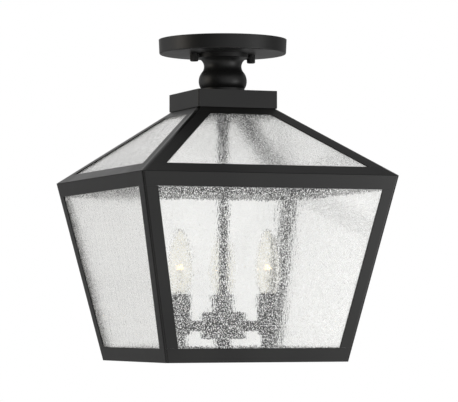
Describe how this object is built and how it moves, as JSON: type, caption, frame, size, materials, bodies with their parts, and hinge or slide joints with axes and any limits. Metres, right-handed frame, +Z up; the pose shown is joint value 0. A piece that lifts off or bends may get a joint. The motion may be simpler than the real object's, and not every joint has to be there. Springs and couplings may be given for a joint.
{
  "type": "ceiling lantern",
  "caption": "Square tapered porch ceiling lantern: seeded panes in a black frame, glass hip roof, turned neck and candle lamps on a centre rod.",
  "frame": {"origin": "on the ceiling plane at the centre of the ceiling plate, which is the centre of the strap's two slots", "axes": "+Z up into the ceiling, the front pane faces -Y, the thumb nuts lie along X"},
  "size_m": [0.3048, 0.3048, 0.3675],
  "materials": {
    "black_powder_coat": "satin black powder coat on sheet steel",
    "zinc_steel": "bright zinc plate",
    "brass": "plain brass",
    "earth_screw_green": "green dyed screw",
    "foam": "closed-cell foam",
    "seeded_glass": "clear seeded glass with small bubbles and fine drawn waves",
    "lampholder_plastic": "black phenolic",
    "bulb_clear_glass": "clear blown glass",
    "bulb_base_brass": "rolled brass screw shell",
    "filament": "glowing filament on wires and a glass stem"
  },
  "bodies": {
    "lantern": {"box_strap": "zinc_steel", "stud_strap": "zinc_steel", "mounting_studs": "zinc_steel", "stud_lock_nuts": "zinc_steel", "canopy_locknut": "zinc_steel", "eave_rivets": "zinc_steel", "strap_eyelet": "brass", "stem_nipple": "brass", "ground_screw": "earth_screw_green", "canopy_gasket": "foam", "canopy": "black_powder_coat", "neck": "black_powder_coat", "roof_cap": "black_powder_coat", "roof_strap": "black_powder_coat", "stem_coupler": "black_powder_coat", "centre_rod": "black_powder_coat", "roof_top_band": "black_powder_coat", "roof_eave_band": "black_powder_coat", "hip_rail_1": "black_powder_coat", "hip_rail_2": "black_powder_coat", "hip_rail_3": "black_powder_coat", "hip_rail_4": "black_powder_coat", "body_eave_band": "black_powder_coat", "body_bottom_band": "black_powder_coat", "corner_post_1": "black_powder_coat", "corner_post_2": "black_powder_coat", "corner_post_3": "black_powder_coat", "corner_post_4": "black_powder_coat", "glazing_clips": "black_powder_coat", "hub": "black_powder_coat", "lamp_arms": "black_powder_coat", "cup_finials": "black_powder_coat", "lamp_cup_1": "black_powder_coat", "lamp_cup_2": "black_powder_coat", "lamp_cup_3": "black_powder_coat", "roof_glass_front": "seeded_glass", "roof_glass_right": "seeded_glass", "roof_glass_back": "seeded_glass", "roof_glass_left": "seeded_glass", "body_glass_front": "seeded_glass", "body_glass_right": "seeded_glass", "body_glass_back": "seeded_glass", "body_glass_left": "seeded_glass", "lampholders": "lampholder_plastic"},
    "washer_left": {"nut_washer_left": "black_powder_coat"},
    "nut_left": {"thumb_nut_left": "black_powder_coat"},
    "washer_right": {"nut_washer_right": "black_powder_coat"},
    "nut_right": {"thumb_nut_right": "black_powder_coat"},
    "cover": {"hub_cover": "black_powder_coat"},
    "finial": {"finial": "black_powder_coat"},
    "bulb_1": {"bulb_glass_1": "bulb_clear_glass", "bulb_base_1": "bulb_base_brass", "bulb_filament_1": "filament"},
    "bulb_2": {"bulb_glass_2": "bulb_clear_glass", "bulb_base_2": "bulb_base_brass", "bulb_filament_2": "filament"},
    "bulb_3": {"bulb_glass_3": "bulb_clear_glass", "bulb_base_3": "bulb_base_brass", "bulb_filament_3": "filament"}
  },
  "joints": [
    {"name": "left_washer_drop", "type": "slide", "parent": "lantern", "child": "washer_left", "axis": [0, 0, -1], "range_m": [0, 0.00635]},
    {"name": "left_thumb_nut_turn", "type": "hinge", "parent": "washer_left", "child": "nut_left", "pos_m": [-0.03492, 0, -0.02], "axis": [0, 0, -1], "range_deg": [0, 2880]},
    {"name": "right_washer_drop", "type": "slide", "parent": "lantern", "child": "washer_right", "axis": [0, 0, -1], "range_m": [0, 0.00635]},
    {"name": "right_thumb_nut_turn", "type": "hinge", "parent": "washer_right", "child": "nut_right", "pos_m": [0.03492, 0, -0.02], "axis": [0, 0, -1], "range_deg": [0, 2880]},
    {"name": "hub_cover_drop", "type": "slide", "parent": "lantern", "child": "cover", "axis": [0, 0, -1], "range_m": [0, 0.00847]},
    {"name": "finial_turn", "type": "hinge", "parent": "cover", "child": "finial", "pos_m": [0, 0, -0.35], "axis": [0, 0, -1], "range_deg": [0, 3240]},
    {"name": "bulb_1_lift", "type": "slide", "parent": "lantern", "child": "bulb_1", "axis": [0, 0, 1], "range_m": [0, 0.026]},
    {"name": "bulb_2_lift", "type": "slide", "parent": "lantern", "child": "bulb_2", "axis": [0, 0, 1], "range_m": [0, 0.026]},
    {"name": "bulb_3_lift", "type": "slide", "parent": "lantern", "child": "bulb_3", "axis": [0, 0, 1], "range_m": [0, 0.026]}
  ],
  "couplings": [
    {"joint": "left_thumb_nut_turn", "follows": "left_washer_drop", "rad_per_m": 7915.8},
    {"joint": "right_thumb_nut_turn", "follows": "right_washer_drop", "rad_per_m": 7915.8},
    {"joint": "finial_turn", "follows": "hub_cover_drop", "rad_per_m": 6679}
  ]
}
